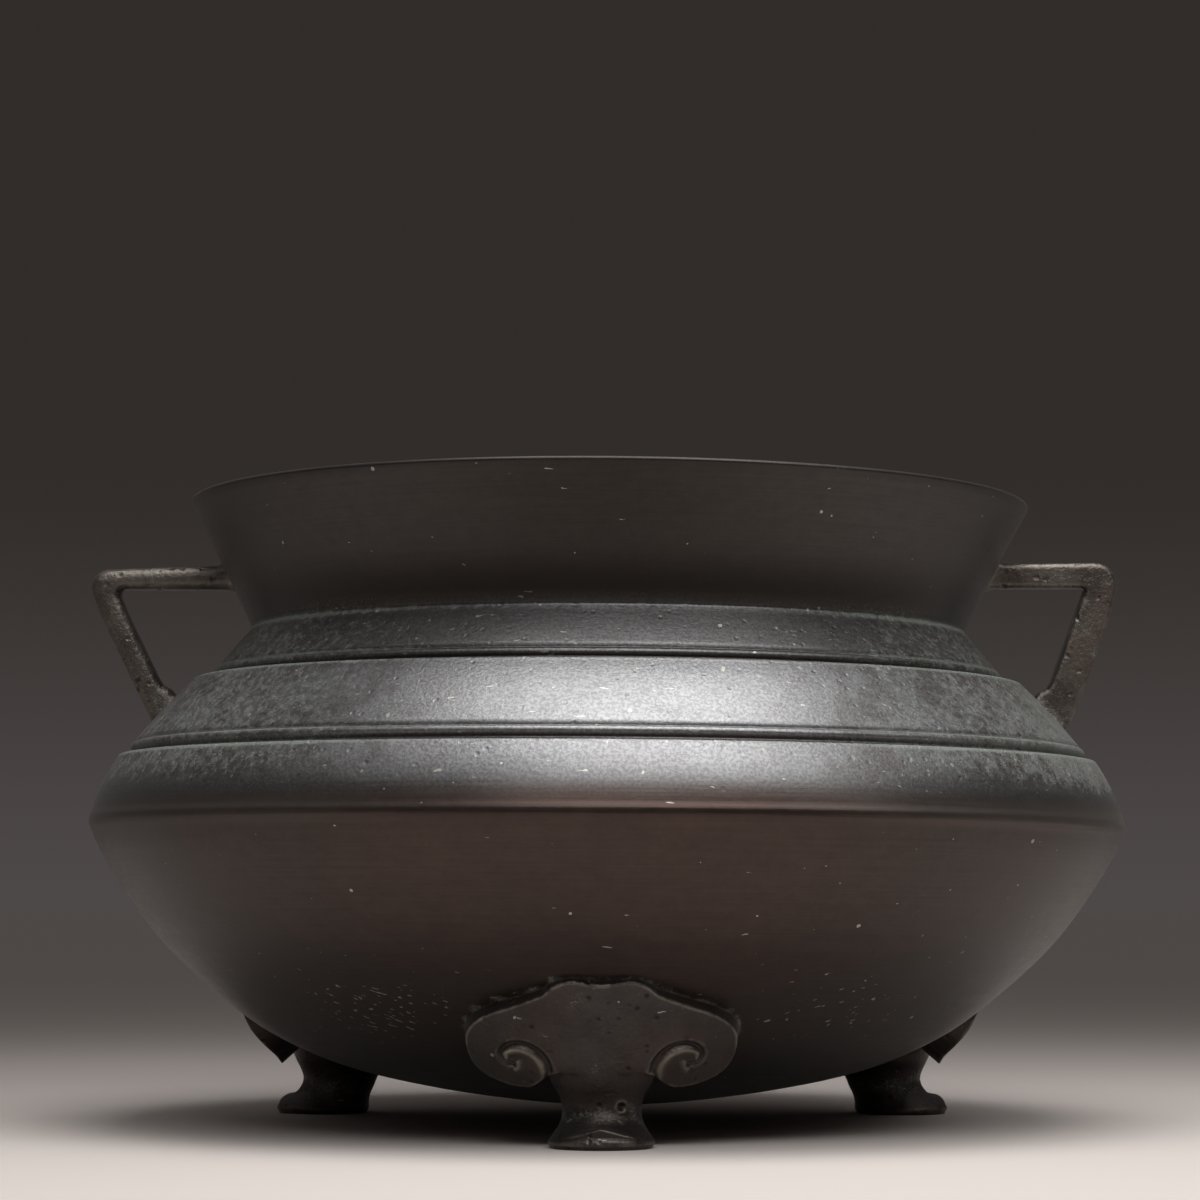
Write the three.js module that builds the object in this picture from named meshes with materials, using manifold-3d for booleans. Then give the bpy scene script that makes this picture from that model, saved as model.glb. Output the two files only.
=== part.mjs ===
// Bronze ding-type vessel: a flared neck over a stepped, carinated body, two
// bent bar handles and three feet with cloud-scroll plates.
// Millimetres, +Z up, the floor at z = 0, the vessel's axis at x = y = 0.
// The first foot points along -Y and the handles lie along -X and +X.
import * as THREE from 'three';
import { mergeVertices } from 'three/addons/utils/BufferGeometryUtils.js';
import Module from 'manifold-3d';

// ---- driving dimensions (mm) ----
const SEGMENTS = 52;            // facets round the body
const GAP = 0.3;                // solder line between two pieces

const RIM_R = 98, RIM_Z = 143.6;  // outer edge of the lip
const LIP = 2.6;                // wall at the lip and through the neck
const LIP_ROUND = 0.7;
const NECK_R = 83.2, NECK_Z = 113.8;        // foot of the neck
const NECK_FILLET = 1.1, NECK_HOLLOW = 0.2;
const COLLAR_R = 4, COLLAR_Z = 9.4;         // top of the steeper band inside the neck
const TIER1_R = 91.2, TIER1_Z = 104.5;      // lower edge of the first band
const TIER2_R = 96.5, TIER2_Z = 101.7;      // upper edge of the second band
const TIER2_END_R = 109.8, TIER2_END_Z = 87.2;
const TIER3_R = 113.3, TIER3_Z = 83.9;      // upper edge of the third band
const BELLY_R = 120, BELLY_Z = 69.8;        // the sharp edge of the belly
const BEAD = 1.7, BEAD_OUT = 0.9;           // height and reach of the bead under a band
const HEEL = 0.5;               // how far the hollow runs back under the bead
const BOTTOM_Z = 4.1;           // clearance under the bowl
const WALL = 3;                 // wall of the shoulder and bowl
// The bowl below the belly edge, from the edge down to the axis.
const BOWL = [[BELLY_R, BELLY_Z - 1.4], [116.9, 61.5], [110.6, 51.5], [102.9, 41.5], [92.2, 31.5],
  [79, 21.5], [62, 13.7], [42, 8.8], [20, 5.6], [0, BOTTOM_Z]];

const LEAN = 0.45;              // degrees, bowl and neck lean toward +X on the feet

const HANDLE_DEPTH = 6.4;       // front to back
const HANDLE_EDGE = 1.1;        // rounding of the bar's edges
const HANDLE_BEND = 5.2;        // outer radius of the bend
// Each bar by its two limbs, in the plane of the handles: the level limb's top
// and underside at neck and bend, the lower limb's outer and inner line.
const HANDLE_LEFT = { side: -1, top: [129.5, 128.2], under: [123.4, 123.3],
  outer: [[121.6, 123.4], [119.3, 117.3], [107.7, 94.2]],
  inner: [[114.5, 121.6], [112, 116.3], [105.1, 101.8]] };
const HANDLE_RIGHT = { side: 1, top: [130.7, 131.4], under: [125.1, 125.4],
  outer: [[119.1, 125.8], [117.4, 118.1], [109.8, 96.9]],
  inner: [[111.6, 124.6], [108.7, 117.1], [103.7, 102.6]] };

// Each foot's direction, in degrees from -Y toward +X.
const FEET = { foot_front: -0.9, foot_right: 119.1, foot_left: -122.3 };
const PLATE_HALF = 28.5, PLATE_TOP = 34.7, PLATE_FOOT = 12.4;
const SCROLL_T = 16.6;          // middle of a volute
const GROOVE = 1.4, GROOVE_DEEP = 1.6;

// ---- materials ----
const bronze = (colour, roughness) => new THREE.MeshStandardMaterial({
  color: colour, roughness, metalness: 0.85 });
const BODY_BRONZE = bronze('#3a3532', 0.42);
const HANDLE_BRONZE = bronze('#37332c', 0.55);
const FOOT_BRONZE = bronze('#332e2a', 0.5);

// ---- solids ----
const wasm = await Module();
wasm.setup();

function toSolid(geometry) {
  const plain = geometry.clone();
  plain.deleteAttribute('normal');
  plain.deleteAttribute('uv');
  const merged = mergeVertices(plain, 1e-4);
  const kept = [];
  const index = merged.index.array;
  for (let i = 0; i < index.length; i += 3) {
    const [a, b, c] = [index[i], index[i + 1], index[i + 2]];
    if (a !== b && b !== c && c !== a) kept.push(a, b, c);
  }
  return new wasm.Manifold(new wasm.Mesh({
    numProp: 3,
    vertProperties: new Float32Array(merged.attributes.position.array),
    triVerts: new Uint32Array(kept) }));
}

function toMesh(solid, name, material) {
  const out = solid.getMesh();
  const geometry = new THREE.BufferGeometry();
  geometry.setAttribute('position', new THREE.BufferAttribute(
    new Float32Array(out.vertProperties), 3));
  geometry.setIndex(new THREE.BufferAttribute(new Uint32Array(out.triVerts), 1));
  geometry.computeVertexNormals();
  const mesh = new THREE.Mesh(geometry, material);
  mesh.name = name;
  return mesh;
}

// A closed profile of [radius, height] turned about the vertical axis.
function turned(profile, segments = SEGMENTS) {
  let area = 0;
  profile.forEach(([r, z], i) => {
    const [r2, z2] = profile[(i + 1) % profile.length];
    area += r * z2 - r2 * z;
  });
  const points = (area < 0 ? [...profile].reverse() : [...profile]);
  points.push(points[0]);
  const lathe = new THREE.LatheGeometry(
    points.map(([r, z]) => new THREE.Vector2(r, z)), segments);
  lathe.rotateX(Math.PI / 2);
  return toSolid(lathe);
}

// The lean of bowl, neck and handles, about the middle of the belly edge.
const lean = (solid) => solid.translate([0, 0, -BELLY_Z]).rotate([0, LEAN, 0])
  .translate([0, 0, BELLY_Z]);

// ---- profiles ----
function arc(cr, cz, radius, from, to, steps) {
  const out = [];
  for (let i = 0; i <= steps; i++) {
    const a = THREE.MathUtils.degToRad(from + (to - from) * i / steps);
    out.push([cr + radius * Math.cos(a), cz + radius * Math.sin(a)]);
  }
  return out;
}

// A step from the lower edge of one band to the upper edge of the next: a bead,
// the hollow under it and a shelf.
function step(r0, z0, r1, z1) {
  return [[r0, z0], [r0 + BEAD_OUT, z0 - BEAD * 0.5], [r0 + BEAD_OUT, z0 - BEAD],
    [r0 + BEAD_OUT - HEEL, (z0 - BEAD + z1) / 2], [r0 + BEAD_OUT, z1], [r1, z1]];
}

// A band, a little fuller than the straight line between its edges.
function band(r0, z0, r1, z1, full, steps) {
  const length = Math.hypot(r1 - r0, z1 - z0);
  const [nr, nz] = [(z0 - z1) / length, (r1 - r0) / length];
  const out = [];
  for (let i = 0; i <= steps; i++) {
    const t = i / steps;
    const lift = full * 4 * t * (1 - t);
    out.push([r0 + (r1 - r0) * t + nr * lift, z0 + (z1 - z0) * t + nz * lift]);
  }
  return out;
}

const bowlCurve = new THREE.SplineCurve(BOWL.map(([r, z]) => new THREE.Vector2(r, z)));

// Points of the bowl, moved along the curve's normal by `offset`.
function bowl(offset, steps) {
  const out = [];
  for (let i = 0; i <= steps; i++) {
    const t = i / steps;
    const p = bowlCurve.getPoint(t), d = bowlCurve.getTangent(t);
    out.push([Math.max(0, i === steps ? 0 : p.x - d.y * offset), p.y + d.x * offset]);
  }
  return out;
}

// Outer skin, from the lip to the axis below, grown by `grow`.
function outerSkin(grow = 0) {
  const slope = Math.hypot(RIM_Z - NECK_Z, RIM_R - NECK_R);
  const [nr, nz] = [(RIM_Z - NECK_Z) / slope, -(RIM_R - NECK_R) / slope];
  const neckFoot = [NECK_R + 0.3 + nr * grow, NECK_Z + NECK_FILLET + nz * grow];
  const neckMiddle = [(NECK_R + RIM_R) / 2 - NECK_HOLLOW + nr * grow,
    (NECK_Z + RIM_Z) / 2 + nz * grow];
  return [
    ...arc(RIM_R - LIP_ROUND + grow, RIM_Z - LIP_ROUND, LIP_ROUND, 90, -20, 2),
    neckMiddle,
    neckFoot,
    [NECK_R + 0.15 + grow, NECK_Z + grow * 0.3],
    [NECK_R + 1.1 + grow * 0.8, NECK_Z - 1.2 + grow * 0.6],
    ...step(TIER1_R + grow * 0.7, TIER1_Z + grow * 0.7,
      TIER2_R + grow * 0.7, TIER2_Z + grow * 0.7),
    ...band(TIER2_R + 0.5 + grow * 0.7, TIER2_Z - 0.15 + grow * 0.7,
      TIER2_END_R + grow * 0.7, TIER2_END_Z + grow * 0.7, 0.35, 2),
    ...step(TIER2_END_R + grow * 0.7, TIER2_END_Z + grow * 0.7,
      TIER3_R + grow * 0.7, TIER3_Z + grow * 0.7).slice(1),
    ...band(TIER3_R + 0.5 + grow, TIER3_Z - 0.3 + grow * 0.4,
      BELLY_R - 0.5 + grow, BELLY_Z + 1.2 + grow * 0.2, 0.55, 2),
    [BELLY_R + grow, BELLY_Z - 0.2],
    ...bowl(grow, 11),
  ];
}

// Inner skin, from the axis up to the lip.
function innerSkin() {
  return [
    ...bowl(-WALL, 6).reverse(),
    [TIER3_R - WALL * 0.75, TIER3_Z - WALL * 0.7],
    [TIER2_R - WALL * 0.3, TIER2_Z - WALL * 1.1],
    [NECK_R - LIP * 0.9, NECK_Z - LIP * 0.55],
    [NECK_R - LIP * 1.05, NECK_Z + 0.6],
    [NECK_R - LIP + COLLAR_R, NECK_Z + COLLAR_Z],
    ...arc(RIM_R - LIP + LIP_ROUND, RIM_Z - LIP_ROUND, LIP_ROUND, 190, 90, 1),
  ];
}

const body = turned([...outerSkin(), ...innerSkin()]);
const bodyFilled = turned([...outerSkin(GAP), [0, RIM_Z]]);

// ---- handles ----
function handle({ side, top, under, outer, inner }) {
  const [corner, knee, end] = outer;
  const [crook, mid, root] = inner;
  const bar = new THREE.Shape();
  bar.moveTo(NECK_R - 1, top[0]);
  bar.lineTo(corner[0] - HANDLE_BEND, top[1]);
  bar.quadraticCurveTo(corner[0] - 0.3, top[1], corner[0], corner[1]);
  bar.lineTo(...knee);
  bar.lineTo(...end);
  bar.lineTo(end[0] - 4, end[1] - 8);
  bar.lineTo(root[0] - 6, root[1] - 6);
  bar.lineTo(root[0] - 3, root[1] - 1.9);
  bar.lineTo(root[0] - 0.9, root[1] - 0.7);
  bar.lineTo(root[0] + 0.2, root[1] + 1);
  bar.lineTo(...mid);
  bar.lineTo(...crook);
  bar.quadraticCurveTo(crook[0] + 0.2, under[1], crook[0] - 1.5, under[1]);
  bar.lineTo(NECK_R - 1, under[0]);
  bar.closePath();
  const rod = new THREE.ExtrudeGeometry(bar, { depth: HANDLE_DEPTH - 2 * HANDLE_EDGE,
    bevelEnabled: true, bevelThickness: HANDLE_EDGE, bevelSize: HANDLE_EDGE,
    bevelOffset: -HANDLE_EDGE, bevelSegments: 2, curveSegments: 4 });
  rod.translate(0, 0, -(HANDLE_DEPTH - 2 * HANDLE_EDGE) / 2);
  rod.rotateX(Math.PI / 2);
  if (side < 0) rod.rotateZ(Math.PI);
  return lean(toSolid(rod).subtract(bodyFilled));
}

// ---- feet, worked out with the foot pointing along -Y ----
// The face of plate and shin: height, radius about the vessel's axis in the
// middle, and how far the wings fall back from it.
const FACE = [[5, 88, 0], [8.1, 86.4, 7], [10.6, 86.8, 11], [13.6, 88, 10.5], [16.6, 89.4, 7],
  [20.2, 90.8, 4.2], [24.6, 92.6, 3], [29.6, 95.3, 3], [35.6, 98.2, 2.5], [42, 100, 2]];
function faceDepth(t, z) {
  let i = 1;
  while (i < FACE.length - 1 && z > FACE[i][0]) i++;
  const [z0, r0, w0] = FACE[i - 1], [z1, r1, w1] = FACE[i];
  const k = THREE.MathUtils.clamp((z - z0) / (z1 - z0), 0, 1);
  const radius = r0 + (r1 - r0) * k - (w0 + (w1 - w0) * k) * (t / PLATE_HALF) ** 2;
  return Math.sqrt(radius ** 2 - t ** 2);
}

// A closed loft through rings with the same number of points.
function loft(rings) {
  const n = rings[0].length;
  const position = rings.flat(2), index = [];
  for (let j = 0; j < rings.length - 1; j++) {
    for (let i = 0; i < n; i++) {
      const a = j * n + i, b = j * n + (i + 1) % n;
      index.push(a, b, b + n, a, b + n, a + n);
    }
  }
  const last = (rings.length - 1) * n;
  for (let i = 1; i < n - 1; i++) {
    index.push(last, last + i, last + i + 1, 0, i + 1, i);
  }
  const geometry = new THREE.BufferGeometry();
  geometry.setAttribute('position', new THREE.Float32BufferAttribute(position, 3));
  geometry.setIndex(index);
  return toSolid(geometry);
}

// Everything behind the face, `inset` behind it.
function behindFace(inset) {
  const width = PLATE_HALF + 3, across = 8;
  return loft(FACE.map(([z]) => {
    const ring = [[-width, -20, z], [width, -20, z]];
    for (let i = 0; i <= across; i++) {
      const t = width * (1 - 2 * i / across);
      ring.push([t, -faceDepth(t, z) + inset, z]);
    }
    return ring.reverse();
  }));
}

// Half the plate's outline, from the middle of its top round to the leg:
// across by up, as [t, z].
function plateHalf() {
  const path = new THREE.Path();
  path.moveTo(0, PLATE_TOP - 0.8);
  path.quadraticCurveTo(3, PLATE_TOP - 0.6, 5.4, PLATE_TOP);
  path.quadraticCurveTo(9.4, PLATE_TOP, 12, PLATE_TOP - 2.9);
  path.quadraticCurveTo(17, PLATE_TOP - 4.8, 22.5, PLATE_TOP - 6.5);
  path.quadraticCurveTo(PLATE_HALF - 0.6, PLATE_TOP - 8.4, PLATE_HALF, PLATE_FOOT + 10.5);
  path.quadraticCurveTo(PLATE_HALF, PLATE_FOOT + 5, PLATE_HALF - 4.5, PLATE_FOOT + 2.2);
  path.quadraticCurveTo(SCROLL_T + 3, PLATE_FOOT, SCROLL_T - 0.5, PLATE_FOOT);
  path.quadraticCurveTo(SCROLL_T - 3.5, PLATE_FOOT, SCROLL_T - 5, PLATE_FOOT + 2);
  path.lineTo(8, PLATE_FOOT + 3);
  return path.getPoints(3).map((p) => [p.x, p.y]);
}

// The plate's sides run back to the belly inward and up, across by up.
const BACK = new THREE.Vector2(-0.8, 0.6);
function prism(outline, length) {
  const seen = outline.map(([t, z]) => new THREE.Vector2(
    t, faceDepth(t, z) * BACK.y - z * BACK.x));
  const block = new THREE.ExtrudeGeometry(new THREE.Shape(seen), {
    depth: length, bevelEnabled: false });
  block.applyMatrix4(new THREE.Matrix4().makeBasis(
    new THREE.Vector3(1, 0, 0), new THREE.Vector3(0, -BACK.y, -BACK.x),
    new THREE.Vector3(0, BACK.x, -BACK.y)));
  return toSolid(block);
}

// The groove of one volute: it leaves the leg, runs over the scroll and hooks
// back into its eye.
const scroll = new THREE.SplineCurve([[10.6, 15.2], [11.5, 18], [13.7, 20.4], [16.8, 21.6],
  [19.6, 21.3], [21.1, 19.8], [20.3, 17.9], [18.2, 17.3]].map((p) => new THREE.Vector2(...p)));
function groove(mirror) {
  const steps = 10, left = [], right = [];
  for (let i = 0; i <= steps; i++) {
    const k = i / steps, p = scroll.getPoint(k), d = scroll.getTangent(k);
    const half = GROOVE * (1 - 0.45 * k) / 2;
    left.push([mirror * (p.x - d.y * half), p.y + d.x * half]);
    right.unshift([mirror * (p.x + d.y * half), p.y - d.x * half]);
  }
  return prism([...left, ...right], 120);
}

// Rings of the leg and hoof: height, middle, half depth, half width.
const LEG = [[0, 81.8, 10.3, 10.2], [0.9, 82, 11.1, 11.2], [2.3, 81.7, 11.1, 10.6],
  [3.4, 80.8, 10.5, 9.8], [4.8, 79.1, 9.4, 8.9], [6.5, 77.7, 9.1, 8.4],
  [8.4, 76.9, 9.2, 8.4], [10.5, 76.6, 9.8, 9.0], [13, 76.4, 11, 10.5], [17, 76, 13.3, 11.6],
  [26, 76, 16, 12]];
const AROUND = 18;
const leg = loft(LEG.map(([z, middle, deep, wide]) => Array.from({ length: AROUND }, (_, i) => {
  const a = (i + 0.5) / AROUND * Math.PI * 2;
  return [wide * Math.cos(a), -middle + deep * Math.sin(a), z];
})));

const half = plateHalf();
const outline = [...half.map(([t, z]) => [-t, z]).reverse(), ...half.slice(1)];
const footSolid = prism(outline, 120).intersect(behindFace(0))
  .subtract(groove(1).add(groove(-1)).subtract(behindFace(GROOVE_DEEP)))
  .add(leg);
const bed = lean(bodyFilled);
const foot = (degrees) => footSolid.rotate([0, 0, degrees]).subtract(bed);

// ---- the vessel ----
const vessel = new THREE.Group();
vessel.add(toMesh(lean(body), 'body', BODY_BRONZE));
vessel.add(toMesh(handle(HANDLE_LEFT), 'handle_left', HANDLE_BRONZE));
vessel.add(toMesh(handle(HANDLE_RIGHT), 'handle_right', HANDLE_BRONZE));
for (const [name, degrees] of Object.entries(FEET)) {
  vessel.add(toMesh(foot(degrees), name, FOOT_BRONZE));
}
export default vessel;
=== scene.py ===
import math

import bmesh
import bpy
import numpy as np
from bpy.props import FloatProperty, FloatVectorProperty, IntProperty, PointerProperty
from mathutils import Matrix, Vector
from mathutils.bvhtree import BVHTree


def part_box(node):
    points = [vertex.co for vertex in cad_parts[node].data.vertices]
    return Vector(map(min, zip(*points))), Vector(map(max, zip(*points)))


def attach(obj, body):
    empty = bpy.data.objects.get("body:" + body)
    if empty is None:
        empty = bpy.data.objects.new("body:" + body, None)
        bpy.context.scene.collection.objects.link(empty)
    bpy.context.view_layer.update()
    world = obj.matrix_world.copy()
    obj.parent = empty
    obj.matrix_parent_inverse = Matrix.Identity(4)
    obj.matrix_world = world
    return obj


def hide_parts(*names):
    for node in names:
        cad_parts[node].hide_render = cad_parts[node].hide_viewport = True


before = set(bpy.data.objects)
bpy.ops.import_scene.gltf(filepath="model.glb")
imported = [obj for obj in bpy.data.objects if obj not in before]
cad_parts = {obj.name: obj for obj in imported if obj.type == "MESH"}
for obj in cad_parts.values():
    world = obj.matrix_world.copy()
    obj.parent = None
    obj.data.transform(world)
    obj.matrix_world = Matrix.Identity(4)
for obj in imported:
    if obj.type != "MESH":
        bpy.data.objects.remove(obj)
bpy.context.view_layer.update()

bl_info = {
    "name": "Bronze Ding Vessel",
    "version": (1, 0, 0),
    "blender": (4, 5, 0),
    "location": "3D View > Sidebar > Vessel",
    "description": "Builds a patinated bronze vessel with handles and scroll feet",
    "category": "Object",
}

MM = 0.001
BODY_LOW, BODY_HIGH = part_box("body")
FEET = {"foot_front": -0.9, "foot_right": 119.1, "foot_left": -122.3}


# ---------------------------------------------------------------- settings

def size_setting(name, about, size):
    return FloatProperty(name=name, description=about, default=size, unit="LENGTH")


def colour_setting(name, about, tone):
    return FloatVectorProperty(name=name, description=about, default=tone,
                               subtype="COLOR", size=3)


def power_setting(name, about, watts):
    return FloatProperty(name=name, description=about, default=watts, unit="POWER")


class VesselSizes(bpy.types.PropertyGroup):
    """Driving sizes of the vessel."""

    rim_radius: size_setting("Rim radius", "Outer radius of the lip", 98 * MM)
    rim_height: size_setting("Rim height", "Height of the lip above the floor", 143.6 * MM)
    neck_radius: size_setting("Neck radius", "Radius at the foot of the neck", 83.2 * MM)
    neck_height: size_setting("Neck height", "Height of the neck's foot", 113.8 * MM)
    belly_radius: size_setting("Belly radius", "Radius of the sharp belly edge",
                               (BODY_HIGH[1] - BODY_LOW[1]) / 2)
    belly_height: size_setting("Belly height", "Height of the belly edge", 69.8 * MM)
    wall: size_setting("Wall", "Wall of the shoulder and bowl", 3 * MM)
    lip: size_setting("Lip", "Wall of the neck at the lip", 2.6 * MM)
    unevenness: size_setting("Unevenness", "How far the turned skin wanders", 0.16 * MM)
    grain: size_setting("Foot mesh", "Size of the faces on feet and handles", 0.3 * MM)
    lean: FloatProperty(
        name="Lean", description="How far the bowl leans on its feet",
        default=math.radians(0.45), subtype="ANGLE")
    columns: IntProperty(
        name="Columns", description="Faces round the body", default=480, min=24)


class BronzeColours(bpy.types.PropertyGroup):
    """Colours of the patina."""

    dark: colour_setting("Dark bronze", "Blackened ground", (0.03, 0.026, 0.024))
    warm: colour_setting("Warm bronze", "Reddish brown ground", (0.061, 0.042, 0.036))
    verdigris: colour_setting("Verdigris", "Grey-green bloom", (0.2, 0.22, 0.195))
    worn: colour_setting("Worn bronze", "Handled skin of the shoulder",
                         (0.205, 0.203, 0.206))
    # The body lays this towards its sides as painted sheen; the feet take it, darkened, as
    # their ground.
    hazed: colour_setting("Hazed bronze", "Thin grey haze towards the sides",
                          (0.07, 0.064, 0.06))
    pale: colour_setting("Pale flecks", "Dry scale in scratches and pits",
                         (0.44, 0.43, 0.37))


class StageSettings(bpy.types.PropertyGroup):
    """Floor, backdrop and lights."""

    floor: colour_setting("Floor", "Colour of the floor", (0.62, 0.565, 0.53))
    backdrop: colour_setting("Backdrop", "Colour behind the vessel", (0.031, 0.026, 0.023))
    horizon: colour_setting("Horizon", "Colour where the backdrop meets the floor",
                            (0.078, 0.069, 0.068))
    ceiling: colour_setting("Ceiling", "Soft light from all over the ceiling",
                            (0.15, 0.14, 0.14))
    top_light: power_setting("Top light", "Power of the soft box overhead", 0.95)
    wide_light: power_setting("Wide light", "Power of the dim panel round the soft box",
                              1.08)
    front_light: power_setting("Front light", "Power of the small box in front", 0.78)


# ---------------------------------------------------------------- profiles
# Profiles are lists of (radius, height) in metres.

def arc(centre, radius, start, end, steps):
    angles = np.radians(np.linspace(start, end, steps + 1))
    return [(centre[0] + radius * math.cos(a), centre[1] + radius * math.sin(a))
            for a in angles]


def between(a, b, bulge, steps):
    """Points from a to b on a line that swells outward by bulge in its middle."""
    (r0, z0), (r1, z1) = a, b
    length = math.hypot(r1 - r0, z1 - z0)
    out = []
    for t in np.linspace(0, 1, steps + 1):
        lift = bulge * 4 * t * (1 - t) / length
        out.append((r0 + (r1 - r0) * t + (z0 - z1) * lift,
                    z0 + (z1 - z0) * t + (r1 - r0) * lift))
    return out


def smooth_curve(points, steps):
    """A Catmull-Rom curve through points, with its unit tangents."""
    points = [Vector(p) for p in points]
    padded = [points[0] * 2 - points[1], *points, points[-1] * 2 - points[-2]]
    out = []
    spans = len(points) - 1
    for i in range(steps + 1):
        place = i / steps * spans
        k = min(int(place), spans - 1)
        t = place - k
        a, b, c, d = padded[k:k + 4]
        m0, m1 = (c - a) / 2, (d - b) / 2
        p = (2 * b - 2 * c + m0 + m1) * t ** 3 + (3 * c - 3 * b - 2 * m0 - m1) * t ** 2
        p += m0 * t + b
        q = (2 * b - 2 * c + m0 + m1) * 3 * t ** 2 + (3 * c - 3 * b - 2 * m0 - m1) * 2 * t + m0
        out.append((p, q.normalized()))
    return out


BOWL = [(0, -1.4), (-3.1, -8.3), (-9.4, -18.3), (-17.1, -28.3), (-27.8, -38.3),
        (-41, -48.3), (-58, -56.1), (-78, -61), (-100, -64.2), (-120, -65.7)]


def bowl(sizes, offset, steps):
    """The bowl from the belly edge down to the axis, moved outward by offset."""
    edge = Vector((sizes.belly_radius, sizes.belly_height))
    points = [edge + Vector(p) * MM for p in BOWL]
    out = []
    for p, d in smooth_curve(points, steps):
        out.append((max(p.x - d.y * offset, 0), p.y + d.x * offset))
    out[-1] = (0, out[-1][1])
    return out


# Each shoulder step: the foot of the band above, the bead under it and the top
# edge of the band below, as millimetres from the neck's foot.
STEPS = {
    "upper": {"band": (8, -9.3), "bead": (8.9, -11), "heel": (8.5, -11.5),
              "next": (13.3, -12.1)},
    "lower": {"band": (26.6, -26.6), "bead": (27.6, -28.2), "heel": (27, -29.2),
              "next": (30.1, -29.9)},
}


def beside(point, across, up):
    """The place across and up from point, in millimetres."""
    return tuple(Vector(point) + Vector((across, up)) * MM)


def shoulder_step(sizes, name):
    """A fine line, a bead, the hollow under it and the sharp edge of the next band."""
    foot = Vector((sizes.neck_radius, sizes.neck_height))
    at = {k: foot + Vector(v) * MM for k, v in STEPS[name].items()}
    band, bead, heel, following = (at[k] for k in ("band", "bead", "heel", "next"))
    line = beside(band, -0.1, -0.16)
    out = [tuple(band), line]
    out += between(beside(line, 0.12, -0.16), bead, 0.34 * MM, 7)
    out += [beside(heel, 0.1, 0.25), tuple(heel), beside(heel, 0.35, -0.45)]
    out += between(beside(heel, 0.9, -0.6), beside(following, -0.5, 0.12), -0.1 * MM, 4)
    out += [beside(following, *p) for p in ((-0.16, 0.1), (0.06, -0.02), (0.24, -0.22))]
    return out


def outer_skin(sizes):
    """From the top of the lip down to the axis under the bowl."""
    neck = Vector((sizes.neck_radius, sizes.neck_height))
    round_ = 0.7 * MM
    out = arc((sizes.rim_radius - round_, sizes.rim_height - round_), round_, 90, -20, 6)
    low = neck + Vector((0.6, 1.5)) * MM
    out += between(out[-1], tuple(low), -0.2 * MM, 16)[1:]
    out += [tuple(neck + Vector(p) * MM) for p in
            ((0.32, 0.75), (0.2, 0.25), (0.32, -0.1), (0.6, -0.45))]
    upper, lower = shoulder_step(sizes, "upper"), shoulder_step(sizes, "lower")
    out += between(tuple(neck + Vector((1.0, -0.95)) * MM), upper[0], 0.05 * MM, 8)
    out += upper[1:]
    out += between(upper[-1], lower[0], 0.35 * MM, 14)[1:]
    out += lower[1:]
    edge = (sizes.belly_radius, sizes.belly_height)
    out += between(lower[-1], (edge[0] - 0.42 * MM, edge[1] + 0.9 * MM), 0.55 * MM, 14)[1:]
    out += [(edge[0] - 0.1 * MM, edge[1] + 0.35 * MM), (edge[0], edge[1] - 0.2 * MM),
            (edge[0], edge[1] - 0.7 * MM)]
    return out + bowl(sizes, offset=0, steps=44)


def inner_skin(sizes):
    """From the axis inside the bowl up to the lip."""
    wall, lip = sizes.wall, sizes.lip
    neck = Vector((sizes.neck_radius, sizes.neck_height))
    under = (neck.x + 13.3 * MM - wall * 0.3, neck.y - 12.1 * MM - wall * 1.1)
    side = (neck.x + 30.1 * MM - wall * 0.75, neck.y - 30 * MM - wall * 0.7)
    throat = (neck.x - lip * 0.98, neck.y - lip * 0.6)
    out = bowl(sizes, offset=-wall, steps=26)[::-1]
    out += between(side, under, 0, 4)
    out += between(under, throat, 0, 4)[1:]
    collar = (neck.x + 3.6 * MM - lip, neck.y + 9 * MM)
    out += between((throat[0] - 0.1 * MM, throat[1] + 1.2 * MM), collar, 0, 5)
    out += [(collar[0] + 0.5 * MM, collar[1] + 0.5 * MM)]
    top = (sizes.rim_radius - lip, sizes.rim_height - 0.7 * MM)
    out += between((collar[0] + 0.9 * MM, collar[1] + 1.3 * MM), top, 0, 9)
    out += arc((top[0] + 0.7 * MM, top[1]), 0.7 * MM, 165, 90, 3)
    return out


# ---------------------------------------------------------------- meshes

def new_object(name, mesh):
    thing = bpy.data.objects.new(name, mesh)
    bpy.context.collection.objects.link(thing)
    return thing


def mesh_from(name, vertices, faces, edges=()):
    mesh = bpy.data.meshes.new(name)
    mesh.from_pydata([tuple(v) for v in vertices], list(edges), faces)
    mesh.validate()
    return mesh


def remove(*things):
    for thing in things:
        bpy.data.objects.remove(thing)


def baked(thing, name):
    """A plain mesh object made from what thing's modifiers give."""
    graph = bpy.context.evaluated_depsgraph_get()
    mesh = bpy.data.meshes.new_from_object(thing.evaluated_get(graph))
    mesh.name = name
    remove(thing)
    return new_object(name, mesh)


def facing_out(mesh):
    """Doubles merged and every face turned outwards."""
    work = bmesh.new()
    work.from_mesh(mesh)
    bmesh.ops.remove_doubles(work, verts=work.verts, dist=1e-7)
    bmesh.ops.recalc_face_normals(work, faces=work.faces)
    work.to_mesh(mesh)
    work.free()


def with_modifier(thing, kind, name, **settings):
    modifier = thing.modifiers.new(name, kind)
    for key, value in settings.items():
        setattr(modifier, key, value)
    return modifier


def lean_matrix(sizes):
    middle = Vector((0, 0, sizes.belly_height))
    return (Matrix.Translation(middle) @ Matrix.Rotation(sizes.lean, 4, "Y")
            @ Matrix.Translation(-middle))


def ring_faces(rings, n):
    """Quads joining that many rings of n points each."""
    return [(j * n + i, j * n + (i + 1) % n, (j + 1) * n + (i + 1) % n, (j + 1) * n + i)
            for j in range(rings - 1) for i in range(n)]


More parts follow.
